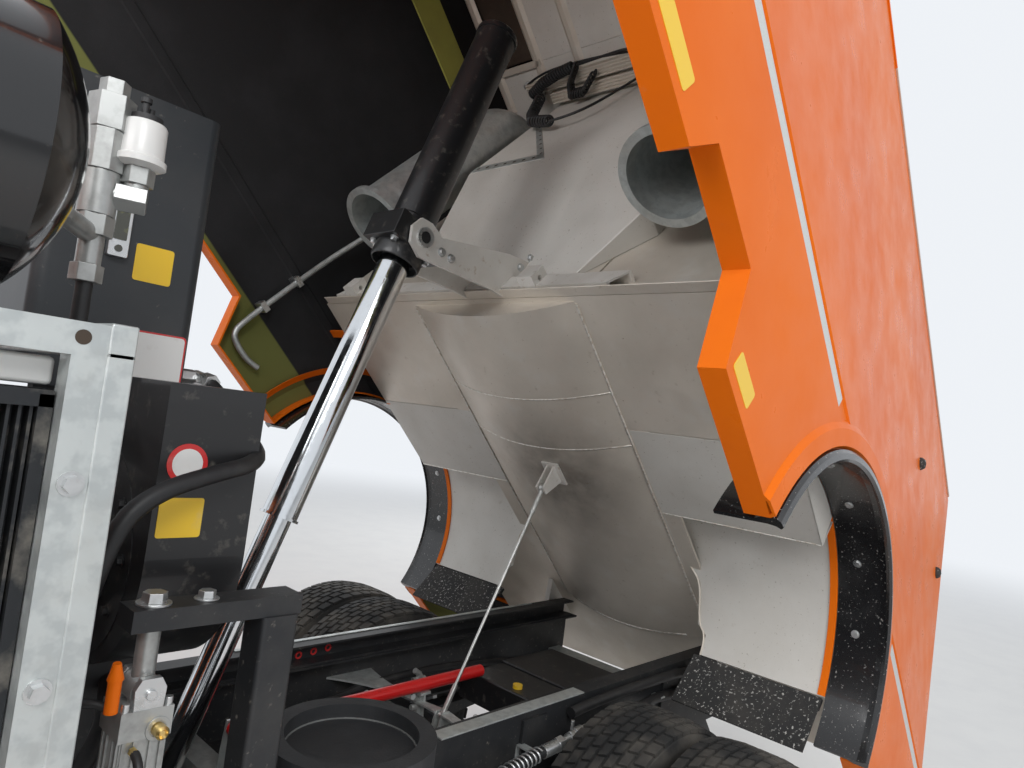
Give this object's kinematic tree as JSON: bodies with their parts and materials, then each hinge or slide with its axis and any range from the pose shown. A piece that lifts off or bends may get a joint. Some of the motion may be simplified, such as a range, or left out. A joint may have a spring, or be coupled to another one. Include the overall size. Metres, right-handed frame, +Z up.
{
  "type": "street sweeper truck",
  "caption": "Cab-over suction street sweeper truck with a tipping debris hopper, side brushes, suction ducts and a telescopic tipping ram, shown with the hopper tipped.",
  "frame": {"origin": "centre of the bounding box of the truck with its hopper tipped, on the ground", "axes": "+X forward, +Y to the left of the truck, +Z up"},
  "size_m": [8.0019, 2.8, 5.1496],
  "materials": {
    "frame_black": "satin",
    "galvanised": "dull",
    "stainless": "brushed, dusty",
    "orange_grp": "gloss",
    "lining": "matt foam",
    "rubber": "matt",
    "tyre": "matt",
    "rim_paint": "satin",
    "engine_grey": "dull",
    "drum_black": "gloss",
    "tank_grey": "satin",
    "cylinder_black": "satin",
    "chrome": "polished",
    "rope_steel": "bright",
    "red_paint": "gloss",
    "cab_orange": "gloss",
    "glass": "clear",
    "black_plastic": "grained",
    "seat_fabric": "woven",
    "amber": "clear lens",
    "lamp_lens": "clear lens",
    "bristle": "bristle",
    "fuel_tank": "satin"
  },
  "bodies": {
    "chassis": {"frame_rails": "frame_black", "subframe": "frame_black", "crossmembers": "galvanised", "front_axle": "frame_black", "rear_axle": "frame_black", "drive_engine": "engine_grey", "side_tanks": "fuel_tank", "front_mudguards": "black_plastic", "front_bumper": "cab_orange", "rear_bumper": "frame_black", "lamps": "lamp_lens", "aux_engine": "cylinder_black", "aux_frame": "galvanised", "air_receiver": "drum_black", "hydraulic_tank": "tank_grey", "lift_post": "frame_black", "lift_cylinder": "fuel_tank", "suction_hoses": "rubber", "suction_mouths": "galvanised", "broom_mounts": "frame_black"},
    "steer_left": {"knuckle_left": "frame_black"},
    "steer_right": {"knuckle_right": "frame_black"},
    "front_wheel_left": {"front_tyre_left": "tyre", "front_rim_left": "rim_paint"},
    "front_wheel_right": {"front_tyre_right": "tyre", "front_rim_right": "rim_paint"},
    "rear_wheels_left": {"rear_tyres_left": "tyre", "rear_rims_left": "rim_paint"},
    "rear_wheels_right": {"rear_tyres_right": "tyre", "rear_rims_right": "rim_paint"},
    "broom_arm_left": {"broom_arm_left": "frame_black"},
    "broom_arm_right": {"broom_arm_right": "frame_black"},
    "broom_left": {"broom_left": "bristle"},
    "broom_right": {"broom_right": "bristle"},
    "hopper": {"hopper_shell": "stainless", "arch_liners": "stainless", "hopper_brackets": "stainless", "side_panels": "orange_grp", "hood": "orange_grp", "hood_lining": "lining", "arch_flares": "rubber", "mudflaps": "rubber", "suction_pipes": "stainless"},
    "rear_door": {"rear_door": "stainless"},
    "cab": {"cab_shell": "cab_orange", "cab_glass": "glass", "grille": "black_plastic", "mirrors": "black_plastic", "dashboard": "black_plastic", "seats": "seat_fabric", "beacons": "amber"},
    "door_left": {"door_left": "cab_orange", "door_glass_left": "glass"},
    "door_right": {"door_right": "cab_orange", "door_glass_right": "glass"},
    "cylinder_barrel": {"cylinder_barrel": "cylinder_black"},
    "cylinder_stage_1": {"cylinder_stage_1": "chrome"},
    "cylinder_stage_2": {"cylinder_stage_2": "chrome"},
    "limit_rope": {"limit_rope": "rope_steel"},
    "safety_prop": {"safety_prop": "red_paint"}
  },
  "joints": [
    {"name": "hopper_tip", "type": "hinge", "parent": "chassis", "child": "hopper", "pos_m": [-2.2049, 0, 0.91], "axis": [0, -1, 0], "range_deg": [-45, 0]},
    {"name": "ram_swing", "type": "hinge", "parent": "hopper", "child": "cylinder_barrel", "pos_m": [-0.46683, 0, 2.54766], "axis": [0, -1, 0], "range_deg": [0, 24]},
    {"name": "ram_stage_1", "type": "slide", "parent": "cylinder_barrel", "child": "cylinder_stage_1", "axis": [0.3282, 0, -0.9446], "range_m": [-0.922, 0]},
    {"name": "ram_stage_2", "type": "slide", "parent": "cylinder_stage_1", "child": "cylinder_stage_2", "axis": [0.3282, 0, -0.9446], "range_m": [-0.8988, 0]},
    {"name": "limit_rope_fold", "type": "hinge", "parent": "hopper", "child": "limit_rope", "pos_m": [-1.34153, 0.03, 1.71257], "axis": [0, -1, 0], "range_deg": [0, 107]},
    {"name": "safety_prop_lift", "type": "hinge", "parent": "chassis", "child": "safety_prop", "pos_m": [-0.1549, -0.09, 0.925], "axis": [0, 1, 0], "range_deg": [0, 58]},
    {"name": "rear_door_lift", "type": "hinge", "parent": "hopper", "child": "rear_door", "pos_m": [-3.9359, 0, 1.89429], "axis": [0, 1, 0], "range_deg": [0, 80]},
    {"name": "cab_tilt", "type": "hinge", "parent": "chassis", "child": "cab", "pos_m": [3.7951, 0, 0.8], "axis": [0, -1, 0], "range_deg": [-50, 0]},
    {"name": "door_left_swing", "type": "hinge", "parent": "cab", "child": "door_left", "pos_m": [3.7401, 1.164, 1.4], "axis": [0, 0, -1], "range_deg": [0, 70]},
    {"name": "steer_left_turn", "type": "hinge", "parent": "chassis", "child": "steer_left", "pos_m": [2.5951, 0.87, 0.522], "axis": [0, 0, 1], "range_deg": [-36, 36]},
    {"name": "front_wheel_left_spin", "type": "hinge", "parent": "steer_left", "child": "front_wheel_left", "pos_m": [2.5951, 1.03, 0.522], "axis": [0, 1, 0], "continuous": true},
    {"name": "rear_wheels_left_spin", "type": "hinge", "parent": "chassis", "child": "rear_wheels_left", "pos_m": [-1.2049, 1.05, 0.522], "axis": [0, 1, 0], "continuous": true},
    {"name": "broom_arm_left_swing", "type": "hinge", "parent": "chassis", "child": "broom_arm_left", "pos_m": [0.8751, 0.6, 0.47], "axis": [0, 0, 1], "range_deg": [0, 35]},
    {"name": "broom_left_spin", "type": "hinge", "parent": "broom_arm_left", "child": "broom_left", "pos_m": [1.4051, 0.88, 0.3], "axis": [0, 0, 1], "continuous": true},
    {"name": "door_right_swing", "type": "hinge", "parent": "cab", "child": "door_right", "pos_m": [3.7401, -1.164, 1.4], "axis": [0, 0, 1], "range_deg": [0, 70]},
    {"name": "steer_right_turn", "type": "hinge", "parent": "chassis", "child": "steer_right", "pos_m": [2.5951, -0.87, 0.522], "axis": [0, 0, 1], "range_deg": [-36, 36]},
    {"name": "front_wheel_right_spin", "type": "hinge", "parent": "steer_right", "child": "front_wheel_right", "pos_m": [2.5951, -1.03, 0.522], "axis": [0, 1, 0], "continuous": true},
    {"name": "rear_wheels_right_spin", "type": "hinge", "parent": "chassis", "child": "rear_wheels_right", "pos_m": [-1.2049, -1.05, 0.522], "axis": [0, 1, 0], "continuous": true},
    {"name": "broom_arm_right_swing", "type": "hinge", "parent": "chassis", "child": "broom_arm_right", "pos_m": [0.8751, -0.6, 0.47], "axis": [0, 0, -1], "range_deg": [0, 35]},
    {"name": "broom_right_spin", "type": "hinge", "parent": "broom_arm_right", "child": "broom_right", "pos_m": [1.4051, -0.88, 0.3], "axis": [0, 0, 1], "continuous": true}
  ],
  "couplings": [
    {"joint": "ram_swing", "follows": "hopper_tip", "ratio": -0.51018},
    {"joint": "ram_stage_1", "follows": "hopper_tip", "m_per_rad": 1.1714},
    {"joint": "ram_stage_2", "follows": "hopper_tip", "m_per_rad": 1.1419},
    {"joint": "limit_rope_fold", "follows": "hopper_tip", "ratio": -2.3556},
    {"joint": "steer_right_turn", "follows": "steer_left_turn", "ratio": 1}
  ]
}
